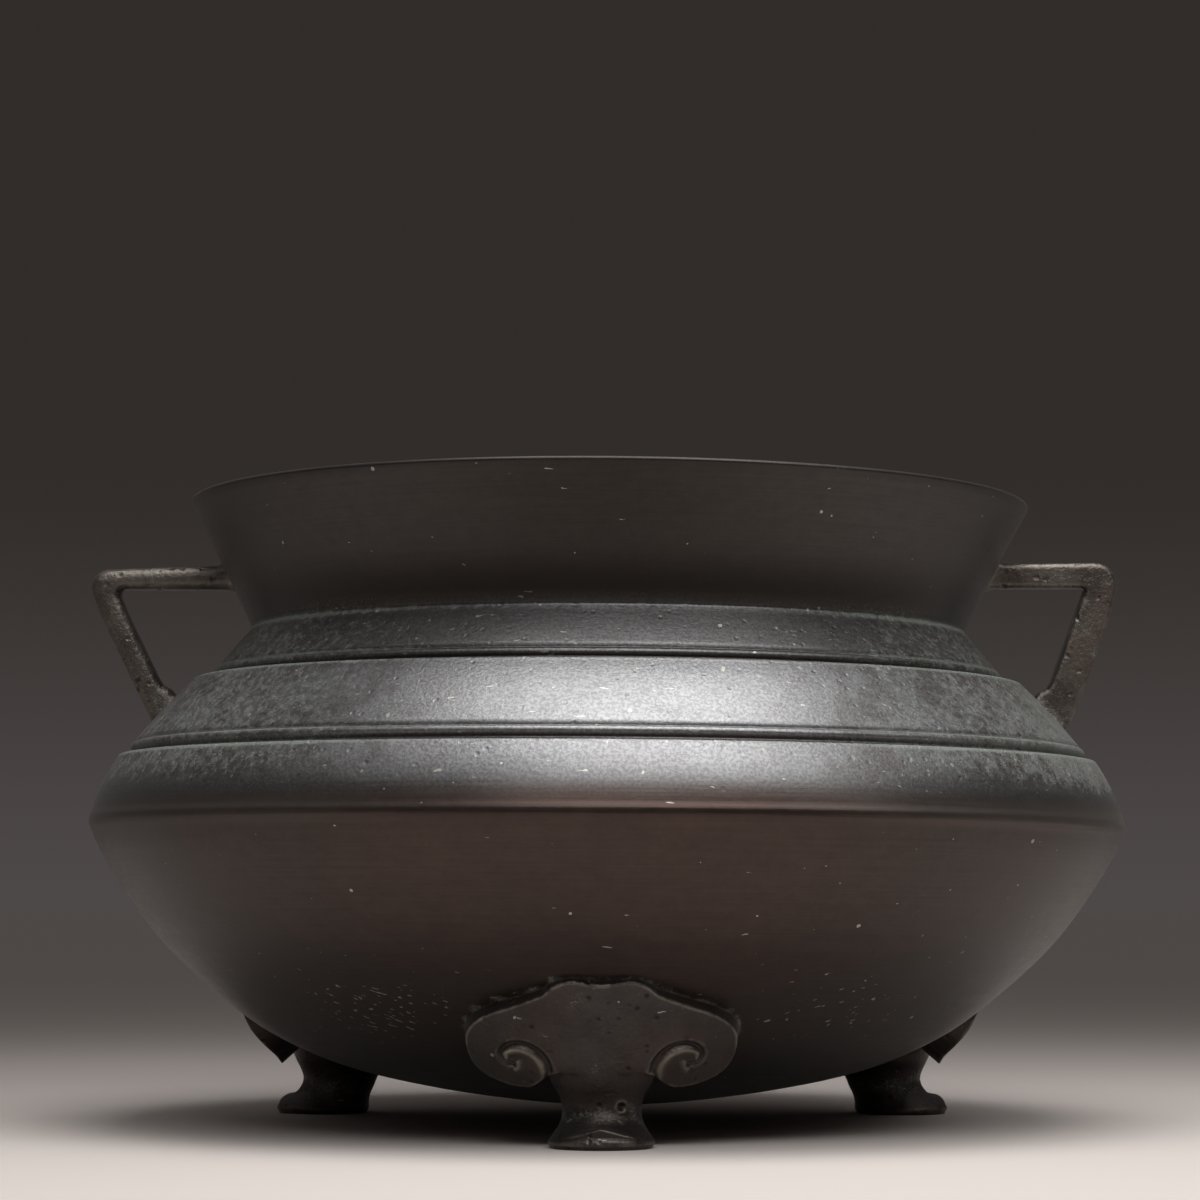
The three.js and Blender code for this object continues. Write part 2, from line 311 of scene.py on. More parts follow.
def lathe(name, profile, columns):
    """A closed solid turned from a profile that starts and ends on the axis."""
    angles = [2 * math.pi * k / columns for k in range(columns)]
    vertices = [(r * math.cos(a), r * math.sin(a), z) for r, z in profile for a in angles]
    mesh = mesh_from(name, vertices, ring_faces(len(profile), columns))
    facing_out(mesh)
    return new_object(name, mesh)


CORE_COLUMNS = 160


def core_cutter(sizes, depth):
    """The leaning body as a filled solid, let in by depth, to cut pieces with."""
    skin = [(max(r - depth, 0), z - depth * 0.4) for r, z in outer_skin(sizes)[::2]]
    skin += [(0, skin[-1][1])]
    cutter = lathe("core", [(0, skin[0][1]), *skin], CORE_COLUMNS)
    cutter.data.transform(lean_matrix(sizes))
    return cutter


# ---------------------------------------------------------------- node trees

class Graph:
    """Short words for laying and joining nodes in one tree."""

    def __init__(self, tree):
        self.tree = tree

    def add(self, kind, wires=None, **settings):
        node = self.tree.nodes.new(kind)
        for key, value in settings.items():
            setattr(node, key, value)
        for socket, source in (wires or {}).items():
            self.feed(node.inputs[socket], source)
        return node

    def feed(self, socket, source):
        if isinstance(source, bpy.types.NodeSocket):
            self.tree.links.new(source, socket)
        else:
            socket.default_value = source

    def math(self, operation, a, b=0.0, clamp=False):
        return self.add("ShaderNodeMath", {0: a, 1: b}, operation=operation,
                        use_clamp=clamp).outputs[0]

    def times(self, first, *others):
        for other in others:
            first = self.math("MULTIPLY", first, other)
        return first

    def total(self, first, *others):
        for other in others:
            first = self.math("ADD", first, other)
        return first

    def largest(self, first, *others):
        for other in others:
            first = self.math("MAXIMUM", first, other)
        return first

    def ramp(self, value, low, high, start=0.0, end=1.0):
        """Eases from start to end as value goes from low to high."""
        return self.add("ShaderNodeMapRange", {
            "Value": value, "From Min": low, "From Max": high, "To Min": start,
            "To Max": end}, interpolation_type="SMOOTHSTEP").outputs[0]

    def line(self, value, centre, half_width):
        """1 where value is at centre, easing to 0 at half_width from it."""
        gap = self.math("ABSOLUTE", self.math("SUBTRACT", value, centre))
        return self.ramp(gap, 0.0, half_width, 1.0, 0.0)

    def blend(self, factor, a, b, kind="MIX"):
        node = self.add("ShaderNodeMix", {0: factor}, data_type="RGBA", blend_type=kind)
        self.feed(node.inputs[6], a)
        self.feed(node.inputs[7], b)
        return node.outputs[2]

    def blend_number(self, factor, a, b):
        return self.add("ShaderNodeMix", {0: factor, 2: a, 3: b},
                        data_type="FLOAT").outputs[0]

    def noise(self, vector, scale, detail=2.0, rough=0.5):
        return self.add("ShaderNodeTexNoise", {
            "Vector": vector, "Scale": scale, "Detail": detail,
            "Roughness": rough}).outputs[0]

    def stretched(self, vector, scale, turn=(0.0, 0.0, 0.0), shift=(0.0, 0.0, 0.0)):
        return self.add("ShaderNodeMapping", {
            "Vector": vector, "Location": shift, "Rotation": turn,
            "Scale": scale}).outputs[0]


# ---------------------------------------------------------------- turned body

def turning_tree():
    """Geometry nodes that turn a profile into a closed body of revolution."""
    tree = bpy.data.node_groups.new("Turned Body", "GeometryNodeTree")
    face = tree.interface
    face.new_socket("Profile", in_out="INPUT", socket_type="NodeSocketGeometry")
    for label, kind, default in (
            ("Columns", "NodeSocketInt", 480), ("Lean", "NodeSocketFloat", 0.0),
            ("Lean Height", "NodeSocketFloat", 0.07),
            ("Unevenness", "NodeSocketFloat", 0.0001),
            ("Wander Scale", "NodeSocketFloat", 18.0), ("Seed", "NodeSocketInt", 3),
            ("Lining Rows", "NodeSocketInt", 1)):
        face.new_socket(label, in_out="INPUT", socket_type=kind).default_value = default
    face.new_socket("Finish", in_out="INPUT", socket_type="NodeSocketMaterial")
    face.new_socket("Body", in_out="OUTPUT", socket_type="NodeSocketGeometry")

    graph = Graph(tree)
    add, math_node, times = graph.add, graph.math, graph.times

    given = add("NodeGroupInput").outputs
    columns = given["Columns"]
    rows = add("GeometryNodeAttributeDomainSize",
               {"Geometry": given["Profile"]}).outputs["Point Count"]
    sheet = add("GeometryNodeMeshGrid", {
        "Size X": columns, "Size Y": math_node("SUBTRACT", rows, 1.0),
        "Vertices X": math_node("ADD", columns, 1.0), "Vertices Y": rows})
    place = add("ShaderNodeSeparateXYZ", {
        0: add("GeometryNodeInputPosition").outputs[0]}).outputs
    half_rows = times(math_node("SUBTRACT", rows, 1.0), 0.5)
    row = math_node("ROUND", math_node("ADD", place["Y"], half_rows))
    turn = math_node("DIVIDE", place["X"], columns)
    angle = times(turn, 2 * math.pi)
    point = add("GeometryNodeSampleIndex", {
        "Geometry": given["Profile"], "Index": row}, data_type="FLOAT_VECTOR",
        domain="POINT")
    graph.feed(point.inputs["Value"], add("GeometryNodeInputPosition").outputs[0])
    spot = add("ShaderNodeSeparateXYZ", {0: point.outputs["Value"]}).outputs
    sine, cosine = math_node("SINE", angle), math_node("COSINE", angle)
    round_ = add("ShaderNodeCombineXYZ", {
        "X": times(spot["X"], sine), "Y": times(spot["X"], cosine, -1.0),
        "Z": spot["Z"]}).outputs[0]
    # The hand-finished skin wanders inward, the same on both faces of the wall.
    wander = add("ShaderNodeTexNoise", {
        "Vector": round_, "W": given["Seed"], "Scale": given["Wander Scale"],
        "Detail": 1.0}, noise_dimensions="4D").outputs[0]
    near_axis = math_node("MINIMUM", times(spot["X"], 30.0), 1.0)
    depth = times(wander, given["Unevenness"], -1.0, near_axis)
    shift = add("ShaderNodeCombineXYZ", {
        "X": times(depth, sine), "Y": times(depth, cosine, -1.0), "Z": 0.0}).outputs[0]
    # The lining is marked on the flat sheet, because rows are told by position.
    within = math_node("LESS_THAN", row, given["Lining Rows"])
    marked = add("GeometryNodeStoreNamedAttribute", {
        "Geometry": sheet.outputs["Mesh"], "Name": "lining"}, data_type="FLOAT",
        domain="POINT")
    value = [socket for socket in marked.inputs if socket.name == "Value" and socket.enabled]
    graph.feed(value[-1], within)
    up = add("ShaderNodeCombineXYZ", {"Z": given["Lean Height"]}).outputs[0]
    down = add("ShaderNodeVectorMath", {0: up, "Scale": -1.0}, operation="SCALE").outputs[0]
    tilt = add("ShaderNodeCombineXYZ", {"Y": given["Lean"]}).outputs[0]
    body = marked.outputs[0]
    for kind, wires in (
            ("GeometryNodeSetPosition", {"Position": round_, "Offset": shift}),
            ("GeometryNodeMergeByDistance", {"Distance": 1e-6}),
            ("GeometryNodeTransform", {"Translation": down}),
            ("GeometryNodeTransform", {"Translation": up, "Rotation": tilt}),
            ("GeometryNodeSetShadeSmooth", {}), ("GeometryNodeRealizeInstances", {}),
            ("GeometryNodeSetMaterial", {"Material": given["Finish"]})):
        body = add(kind, {"Geometry": body, **wires}).outputs[0]
    graph.feed(add("NodeGroupOutput").inputs["Body"], body)
    return tree


def set_input(modifier, label, value):
    for item in modifier.node_group.interface.items_tree:
        if item.item_type == "SOCKET" and item.in_out == "INPUT" and item.name == label:
            modifier[item.identifier] = value
            return
    raise ValueError("no input named " + label)


class DING_OT_body(bpy.types.Operator):
    """Turns the hollow body, from the lip to the round bottom"""

    bl_idname = "ding.body"
    bl_label = "Body"

    def execute(self, context):
        sizes = context.scene.vessel_sizes
        lining = inner_skin(sizes)
        vertices = [(r, 0, z) for r, z in lining + outer_skin(sizes)]
        mesh = mesh_from("profile", vertices, [],
                         [(i, i + 1) for i in range(len(vertices) - 1)])
        turned = new_object("profile", mesh)
        modifier = turned.modifiers.new("Turning", "NODES")
        modifier.node_group = turning_tree()
        for label, value in (
                ("Columns", sizes.columns), ("Lean", sizes.lean),
                ("Lean Height", sizes.belly_height), ("Unevenness", sizes.unevenness),
                ("Lining Rows", len(lining) - 3),
                ("Finish", body_bronze(sizes, context.scene.bronze_colours))):
            set_input(modifier, label, value)
        body = baked(turned, "vessel_body")
        facing_out(body.data)
        for face in body.data.polygons:
            face.use_smooth = True
        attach(body, "root")
        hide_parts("body")
        return {"FINISHED"}


# ---------------------------------------------------------------- handles
# Each bar by its two limbs, in millimetres in the plane of the handles.

HANDLES = {
    "left": {"side": -1, "edge": 2.3, "top": (129.5, 128.2), "under": (123.4, 123.3),
             "outer": ((121.6, 123.4), (119.3, 117.3), (107.7, 94.2)),
             "inner": ((114.5, 121.6), (112, 116.3), (105.1, 101.8))},
    "right": {"side": 1, "edge": 1.3, "top": (130.7, 131.4), "under": (125.1, 125.4),
              "outer": ((119.1, 125.8), (117.4, 118.1), (109.8, 96.9)),
              "inner": ((111.6, 124.6), (108.7, 117.1), (103.7, 102.6))},
}
HANDLE_DEPTH, HANDLE_BEND = 6.4, 5.2
LET_IN = 0.9 * MM               # how deep handles and feet are let into the body


def bend(a, corner, b, steps=6):
    """Points of a quadratic curve from a to b, pulled to corner."""
    out = []
    for t in np.linspace(0, 1, steps + 1):
        out.append(tuple((1 - t) ** 2 * np.array(a) + 2 * t * (1 - t) * np.array(corner)
                         + t ** 2 * np.array(b)))
    return out


def handle_outline(spec):
    (top0, top1), (under0, under1) = spec["top"], spec["under"]
    corner, knee, end = spec["outer"]
    crook, middle, root = spec["inner"]
    outline = [(82, top0)]
    outline += bend((corner[0] - HANDLE_BEND, top1), (corner[0] - 0.3, top1), corner)
    outline += [knee, end, (end[0] - 4, end[1] - 8), (root[0] - 6, root[1] - 6),
                (root[0] - 3, root[1] - 1.9), (root[0] - 0.9, root[1] - 0.7),
                (root[0] + 0.2, root[1] + 1), middle]
    outline += bend(crook, (crook[0] + 0.2, under1), (crook[0] - 1.5, under1))
    outline.append((82, under0))
    return outline


def bar_mesh(name, outline, depth, edge):
    """A flat bar of that outline in X and Z, with rounded edges."""
    curve = bpy.data.curves.new(name, "CURVE")
    curve.dimensions, curve.fill_mode = "2D", "BOTH"
    spline = curve.splines.new("POLY")
    spline.points.add(len(outline) - 1)
    for point, (x, z) in zip(spline.points, outline):
        point.co = (x * MM, z * MM, 0, 1)
    spline.use_cyclic_u = True
    curve.extrude = (depth / 2 - edge) * MM
    curve.bevel_depth, curve.offset = edge * MM, -edge * MM
    curve.bevel_resolution = 3
    holder = new_object(name, curve)
    bar = baked(holder, name)
    bpy.data.curves.remove(curve)
    facing_out(bar.data)
    bar.data.transform(Matrix.Rotation(math.radians(90), 4, "X"))
    return bar


def cast_skin(piece, voxel, rounds):
    """One closed skin with softened edges, as sand casting leaves it."""
    with_modifier(piece, "REMESH", "Skin", mode="VOXEL", voxel_size=voxel, adaptivity=0)
    with_modifier(piece, "SMOOTH", "Soften", factor=0.5, iterations=rounds)
    return baked(piece, piece.name)


def boolean(piece, operation, other):
    with_modifier(piece, "BOOLEAN", "Join", operation=operation, object=other,
                  solver="EXACT")
    return baked(piece, piece.name)


def vectors(rows, key):
    out = np.empty(len(rows) * 3)
    rows.foreach_get(key, out)
    return out.reshape(-1, 3)


def positions(mesh):
    return vectors(mesh.vertices, "co")


def vertex_normals(mesh):
    return vectors(mesh.vertex_normals, "vector")


def put_positions(mesh, places):
    mesh.vertices.foreach_set("co", np.ascontiguousarray(places).ravel())
    mesh.update()


def distance_to(tree, places):
    return np.array([tree.find_nearest(p)[3] for p in places.tolist()])


def tree_of(*things):
    vertices, faces = [], []
    for thing in things:
        base = len(vertices)
        vertices += [v.co.copy() for v in thing.data.vertices]
        faces += [[base + i for i in p.vertices] for p in thing.data.polygons]
    return BVHTree.FromPolygons(vertices, faces)


def mark(mesh, name, values):
    """Keeps one number a vertex for the materials to read."""
    layer = mesh.attributes.new(name, "FLOAT", "POINT")
    layer.data.foreach_set("value", np.asarray(values, float))


RUBBED_BEND, RUBBED_ROUNDS = 420, 2


def mark_wear(mesh):
    """1 on the rubbed edges: where the skin bends outward by RUBBED_BEND a metre."""
    places, normals = positions(mesh), vertex_normals(mesh)
    ends = np.empty(len(mesh.edges) * 2, int)
    mesh.edges.foreach_get("vertices", ends)
    a, b = ends.reshape(-1, 2).T
    step = places[b] - places[a]
    bend_out = ((normals[b] - normals[a]) * step).sum(1) / np.maximum((step ** 2).sum(1), 1e-12)
    count = np.bincount(a, minlength=len(places)) + np.bincount(b, minlength=len(places))

    def around(values):
        both = np.bincount(a, values, len(places)) + np.bincount(b, values, len(places))
        return both / np.maximum(count, 1)

    curve = around(bend_out)
    for _ in range(RUBBED_ROUNDS):
        over = np.bincount(a, curve[b], len(places)) + np.bincount(b, curve[a], len(places))
        curve = (curve + over / np.maximum(count, 1)) / 2
    mark(mesh, "wear", np.clip(curve / RUBBED_BEND - 0.35, 0, 1))


def mark_joint(piece, tree, reach):
    """1 along a soldered joint, easing to 0 at reach from it."""
    gap = distance_to(tree, positions(piece.data))
    mark(piece.data, "joint", np.clip(1 - gap / reach, 0, 1) ** 1.5)


def solder_flare(piece, body_tree, reach, height):
    """Swells a piece a little where it meets the body, as a soldered root does."""
    places, normals = positions(piece.data), vertex_normals(piece.data)
    near = np.clip(1 - distance_to(body_tree, places) / reach, 0, 1)
    put_positions(piece.data, places + normals * (near ** 2 * height)[:, None])


def finish_piece(piece, material, node):
    piece.data.materials.clear()
    piece.data.materials.append(material)
    for face in piece.data.polygons:
        face.use_smooth = True
    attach(piece, "root")
    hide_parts(node)


class DING_OT_handles(bpy.types.Operator):
    """Casts the two bent bar handles and solders them to neck and shoulder"""

    bl_idname = "ding.handles"
    bl_label = "Handles"

    def execute(self, context):
        sizes = context.scene.vessel_sizes
        body_tree = tree_of(bpy.data.objects["vessel_body"])
        cutter = core_cutter(sizes, LET_IN)
        finish = handle_bronze(context.scene.bronze_colours)
        for name, spec in HANDLES.items():
            bar = bar_mesh("vessel_handle_" + name, handle_outline(spec), HANDLE_DEPTH,
                           spec["edge"])
            if spec["side"] < 0:
                bar.data.transform(Matrix.Rotation(math.pi, 4, "Z"))
            bar.data.transform(lean_matrix(sizes))
            bar = boolean(bar, "DIFFERENCE", cutter)
            bar = cast_skin(bar, sizes.grain, rounds=4)
            solder_flare(bar, body_tree, reach=2.4 * MM, height=0.5 * MM)
            mark_joint(bar, body_tree, reach=7 * MM)
            mark_wear(bar.data)
            finish_piece(bar, finish, "handle_" + name)
        remove(cutter)
        return {"FINISHED"}


# ---------------------------------------------------------------- feet
# Worked out in millimetres with the foot pointing along -Y.

PLATE_HALF, PLATE_TOP, PLATE_FOOT = 28.5, 34.7, 12.4
SCROLL_T = 16.6
FOOT_MIDDLE = 76 * MM           # from the vessel's axis
BACK = (-0.8, 0.6)
# Height, radius of the face about the vessel's axis, and how far the wings
# fall back from it.
FACE = [(5, 88, 0), (8.1, 86.4, 7), (10.6, 86.8, 11), (13.6, 88, 10.5), (16.6, 89.4, 7),
        (20.2, 90.8, 4.2), (24.6, 92.6, 3), (29.6, 95.3, 3), (35.6, 98.2, 2.5), (42, 100, 2)]
# Rings of the leg and hoof: height, middle, half depth, half width.
LEG = [(0, 81.8, 10.3, 10.2), (0.9, 82, 11.1, 11.2), (2.3, 81.7, 11.1, 10.6),
       (3.4, 80.8, 10.5, 9.8), (4.8, 79.1, 9.4, 8.9), (6.5, 77.7, 9.1, 8.4),
       (8.4, 76.9, 9.2, 8.4), (10.5, 76.6, 10.1, 9.0), (13, 76.4, 11.6, 10.5),
       (17, 76, 13.5, 11.6), (26, 76, 16, 12)]
SCROLL = [(10.6, 15.2), (11.5, 18), (13.7, 20.4), (16.8, 21.6), (19.6, 21.3),
          (21.1, 19.8), (20.3, 17.9), (18.2, 17.3)]
EYE = (16.6, 16.8)              # middle of a volute
PIT = (4.2, 8.6)                # casting flaw over the front hoof
TIP = (-19.2, 20.2)             # painted highlight at the end of the front foot's left volute
GROOVE_WIDTH, GROOVE_DEPTH = 1.4, 1.1


def eased(table, z):
    """Rows of a table read at height z, with smooth joins between them."""
    z = np.asarray(z, float)
    heights = [row[0] for row in table]
    out = []
    for column in range(1, len(table[0])):
        values = np.array([row[column] for row in table], float)
        slopes = np.gradient(values, heights)
        k = np.clip(np.searchsorted(heights, z) - 1, 0, len(table) - 2)
        x0, x1 = np.array(heights)[k], np.array(heights)[k + 1]
        t = np.clip((z - x0) / (x1 - x0), 0, 1)
        h = x1 - x0
        out.append((2 * t ** 3 - 3 * t ** 2 + 1) * values[k] + (t ** 3 - 2 * t ** 2 + t) * h
                   * slopes[k] + (3 * t ** 2 - 2 * t ** 3) * values[k + 1]
                   + (t ** 3 - t ** 2) * h * slopes[k + 1])
    return out


def face_depth(t, z):
    """How far the plate's face stands in front of the vessel's axis."""
    radius, wing = eased(FACE, z)
    radius = radius - wing * (t / PLATE_HALF) ** 2
    return np.sqrt(radius ** 2 - t ** 2)


def plate_outline():
    """Half the plate's outline, from the middle of its top round to the leg."""
    top, foot, wide = PLATE_TOP, PLATE_FOOT, PLATE_HALF
    out = [(0, top - 0.8)]
    for corner, end in (
            ((3, top - 0.6), (5.4, top)), ((9.4, top), (12, top - 2.9)),
            ((17, top - 4.8), (22.5, top - 6.5)),
            ((wide - 0.6, top - 8.4), (wide, foot + 10.5)),
            ((wide, foot + 5), (wide - 4.5, foot + 2.2)),
            ((SCROLL_T + 3, foot), (SCROLL_T - 0.5, foot)),
            ((SCROLL_T - 3.5, foot), (SCROLL_T - 5, foot + 2))):
        out += bend(out[-1], corner, end)[1:]
    return [*out, (8, foot + 3)]


def foot_block(name):
    """A sheared prism of the plate's outline, whose sides run up to the belly."""
    half = plate_outline()
    ring = [(-t, z) for t, z in reversed(half)] + half[1:]
    seen = [(t, float(face_depth(t, z)) * BACK[1] - z * BACK[0]) for t, z in ring]
    work = bmesh.new()
    near = [work.verts.new((t, 0, s)) for t, s in seen]
    far = [work.verts.new((t, 1, s)) for t, s in seen]
    count = len(seen)
    work.faces.new(near)
    work.faces.new(far[::-1])
    for i in range(count):
        j = (i + 1) % count
        work.faces.new((near[i], near[j], far[j], far[i]))
    bmesh.ops.recalc_face_normals(work, faces=work.faces)
    # Its own axes: across, forward against BACK, and square to it.
    forward = Vector((0, BACK[0], -BACK[1]))
    square = Vector((0, -BACK[1], -BACK[0]))
    for vertex in work.verts:
        t, depth, s = vertex.co
        vertex.co = (Vector((t, 0, 0)) + square * s + forward * depth * 120) * MM
    mesh = bpy.data.meshes.new(name)
    work.to_mesh(mesh)
    work.free()
    return new_object(name, mesh)


def closed_rings(name, rings):
    """A closed loft through rings of as many points each."""
    n = len(rings[0])
    vertices = [p for ring in rings for p in ring]
    caps = [tuple(range(n))[::-1], tuple(range((len(rings) - 1) * n, len(rings) * n))]
    mesh = mesh_from(name, vertices, caps + ring_faces(len(rings), n))
    facing_out(mesh)
    return new_object(name, mesh)


def behind_face(name):
    """Everything behind the plate's face."""
    width = PLATE_HALF + 3
    across = np.linspace(width, -width, 49)
    rings = []
    for z in np.linspace(FACE[0][0], FACE[-1][0], 60):
        ring = [(-width * MM, -20 * MM, z * MM), (width * MM, -20 * MM, z * MM)]
        depth = face_depth(across, np.full_like(across, z))
        ring += [(t * MM, -d * MM, z * MM) for t, d in zip(across, depth)]
        rings.append(ring)
    return closed_rings(name, rings)


def leg_block(name):
    rings = []
    for z in (*np.linspace(0, 2.4, 9), *np.linspace(2.8, LEG[-1][0], 40)):
        middle, deep, wide = (float(v) for v in eased(LEG, z))
        angles = np.linspace(0, 2 * math.pi, 72, endpoint=False)
        rings.append([(wide * math.cos(a) * MM, (-middle + deep * math.sin(a)) * MM, z * MM)
                      for a in angles])
    return closed_rings(name, rings)


def scroll_distance(t, z):
    """Distance from the volute's groove, how far along it, and 1 on its eye side."""
    path = [p for p, _ in smooth_curve(SCROLL, 90)]
    best, along, inside = np.full(len(t), 1e9), np.zeros(len(t)), np.zeros(len(t))
    from_eye = np.hypot(np.abs(t) - EYE[0], z - EYE[1])
    for i, p in enumerate(path):
        gap = np.hypot(np.abs(t) - p.x, z - p.y)
        closer = gap < best
        best[closer] = gap[closer]
        along[closer] = i / (len(path) - 1)
        inside[closer] = from_eye[closer] < math.hypot(p.x - EYE[0], p.y - EYE[1])
    return best, along, inside


def soften_where(piece, weights, rounds):
    """Smooths a piece only where weights, one a vertex, are above nothing."""
    group = piece.vertex_groups.new(name="soften")
    for index in np.nonzero(weights > 0.01)[0]:
        group.add([int(index)], float(weights[index]), "REPLACE")
    with_modifier(piece, "SMOOTH", "Blend", factor=0.5, iterations=rounds,
                  vertex_group="soften")
    return baked(piece, piece.name)


def leg_blend(mesh):
    """How much each vertex belongs to the place where plate and leg flow together."""
    t, y, z = positions(mesh).T / MM
    up = np.clip((z - 10) / 2.5, 0, 1) * np.clip((19.5 - z) / 3, 0, 1)
    return up * np.clip((14 - np.abs(t)) / 3.5, 0, 1) * np.clip((-y - 80) / 2, 0, 1)


def carve_foot(mesh, pitted):
    """Cuts the volutes' grooves and raises the arched toe of the hoof."""
    places, normals = positions(mesh) / MM, vertex_normals(mesh)
    t, y, z = places.T
    facing = np.clip(-normals[:, 1], 0, 1)
    on_plate = (z > PLATE_FOOT - 1) & (-y > face_depth(t, z) - 1.2)
    gap, along, inside = scroll_distance(t, z)
    width = GROOVE_WIDTH * (1.1 - 0.35 * along)
    groove = np.exp(-(gap / (width * 0.5)) ** 2 * 1.2) * GROOVE_DEPTH
    # A low roll swells on the eye side of the groove.
    roll = 0.45 * np.exp(-((gap - width * 0.95) / 0.7) ** 2) * inside
    rise = np.where(on_plate, roll - groove, 0) * facing
    if pitted:
        hole = np.hypot(t - PIT[0], z - PIT[1])
        rise -= 1.0 * np.exp(-(hole / 0.6) ** 2) - 0.2 * np.exp(-((hole - 1.2) / 0.5) ** 2)
    # The toe is a low wall whose upper edge is an arch.
    wall = 81.8 + 10.7 * np.sqrt(np.clip(1 - (t / 11.2) ** 2, 0, 1))
    arch = 4.6 - 3.1 * np.clip(np.abs(t) / 9.5, 0, 1) ** 1.25
    below = np.clip((arch + 0.5 - z) / 0.9, 0, 1)
    toe = np.clip(wall + y, 0, 3) * below * below * (3 - 2 * below) * (y < -83)
    places[:, 1] -= toe
    places += normals * rise[:, None]
    places[:, 2] = np.maximum(places[:, 2], 0)
    put_positions(mesh, places * MM)
    # The hollow mark darkens the grooves and the toe's face under its arch, and lays painted
    # shade on the plate's outer lobes and the shin under the plate.
    painted_lobe_shade = 0.5 * np.clip((np.abs(t) - 9) / 17, 0, 1)
    painted_shin_shade = 0.85 * np.clip((15 - z) / 3, 0, 1) * np.clip((z - 5) / 2.5, 0, 1)
    low = 0.3 * below * (y < -83)
    mark(mesh, "hollow", np.maximum.reduce([np.clip(-rise, 0, 1), painted_lobe_shade, painted_shin_shade, low]))
    # Painted highlight: pale on the rolls' crests, strongest at the tip of the front foot's
    # left volute.
    tip = np.exp(-(np.hypot(t - TIP[0], z - TIP[1]) / 1.7) ** 2) if pitted else 0
    mark(mesh, "crest", np.where(on_plate, np.clip(roll * 1.2, 0, 1) * (0.35 + tip), 0))


class DING_OT_feet(bpy.types.Operator):
    """Casts the three feet: scroll plate, leg and hoof"""

    bl_idname = "ding.feet"
    bl_label = "Feet"

    def execute(self, context):
        sizes = context.scene.vessel_sizes
        finish = foot_bronze(context.scene.bronze_colours)
        block, face = foot_block("foot block"), behind_face("behind face")
        block = boolean(block, "INTERSECT", face)
        leg = leg_block("leg block")
        block = boolean(block, "UNION", leg)
        cutter = core_cutter(sizes, LET_IN)
        body_tree = tree_of(bpy.data.objects["vessel_body"])
        for name, degrees in FEET.items():
            turn = Matrix.Rotation(math.radians(degrees), 4, "Z")
            foot = new_object("vessel_" + name, block.data.copy())
            foot.data.transform(turn)
            foot = boolean(foot, "DIFFERENCE", cutter)
            foot.data.transform(turn.inverted())
            foot = cast_skin(foot, sizes.grain, rounds=3)
            foot = soften_where(foot, leg_blend(foot.data), rounds=110)
            carve_foot(foot.data, pitted=name == "foot_front")
            foot.data.transform(turn)
            solder_flare(foot, body_tree, reach=1.2 * MM, height=0.15 * MM)
            places = positions(foot.data)
            places[:, 2] = np.maximum(places[:, 2], 0)
            put_positions(foot.data, places)
            mark_joint(foot, body_tree, reach=0.9 * MM)
            mark_wear(foot.data)
            finish_piece(foot, finish, name)
        remove(face, leg, block, cutter)
        soldered = [bpy.data.objects["vessel_" + key] for key in
                    ("handle_left", "handle_right", *FEET)]
        mark_joint(bpy.data.objects["vessel_body"], tree_of(*soldered), reach=2.4 * MM)
        return {"FINISHED"}


# ---------------------------------------------------------------- shared effects

VECTOR, NUMBER, COLOUR = "NodeSocketVector", "NodeSocketFloat", "NodeSocketColor"


def shared_group(name, inputs, outputs):
    """An empty shader node group; an input gives its kind, or a number's default."""
    tree = bpy.data.node_groups.new(name, "ShaderNodeTree")
    for label, given in inputs.items():
        if isinstance(given, str):
            tree.interface.new_socket(label, in_out="INPUT", socket_type=given)
        else:
            tree.interface.new_socket(label, in_out="INPUT",
                                      socket_type=NUMBER).default_value = given
    for label, kind in outputs.items():
        tree.interface.new_socket(label, in_out="OUTPUT", socket_type=kind)
    graph = Graph(tree)
    return graph, graph.add("NodeGroupInput").outputs, graph.add("NodeGroupOutput").inputs


def grain_group():
    """Fine sand-cast grain with scattered pits."""
    graph, given, out = shared_group(
        "Cast Grain", {"Vector": VECTOR, "Size": 0.0008, "Pits": 0.4},
        {"Height": NUMBER, "Pit Mask": NUMBER})
    scale = graph.math("DIVIDE", 1.0, given["Size"])
    grain = graph.noise(given["Vector"], scale, 4.0, 0.6)
    cells = graph.add("ShaderNodeTexVoronoi", {
        "Vector": given["Vector"], "Scale": graph.times(scale, 0.45)})
    pick = graph.add("ShaderNodeSeparateColor", {0: cells.outputs["Color"]}).outputs[0]
    hole = graph.ramp(cells.outputs["Distance"], 0.08, 0.42, 1.0, 0.0)
    pits = graph.times(hole, graph.math("LESS_THAN", pick, given["Pits"]))
    graph.feed(out["Height"], graph.math("SUBTRACT", grain, pits))
    graph.feed(out["Pit Mask"], pits)
    return graph.tree


def bloom_group():
    """Patches of grey-green bloom, more of them where Amount is higher."""
    graph, given, out = shared_group(
        "Verdigris Bloom", {"Vector": VECTOR, "Amount": 0.3, "Size": 0.006},
        {"Mask": NUMBER})
    times, ramp = graph.times, graph.ramp
    scale = graph.math("DIVIDE", 1.0, given["Size"])
    broad = graph.noise(given["Vector"], scale, 5.0, 0.62)
    fine = graph.noise(given["Vector"], times(scale, 9.0), 3.0, 0.6)
    both = graph.total(times(broad, 0.6), times(fine, 0.4))
    level = graph.math("SUBTRACT", 0.78, times(given["Amount"], 0.5))
    patch = ramp(both, graph.math("SUBTRACT", level, 0.1), graph.total(level, 0.12))
    speckle = ramp(fine, 0.4, 0.58, 0.15, 1.0)
    mask = graph.largest(times(patch, speckle),
                         ramp(given["Amount"], 0.75, 1.0, 0.0, 0.7))
    graph.feed(out["Mask"], mask)
    return graph.tree


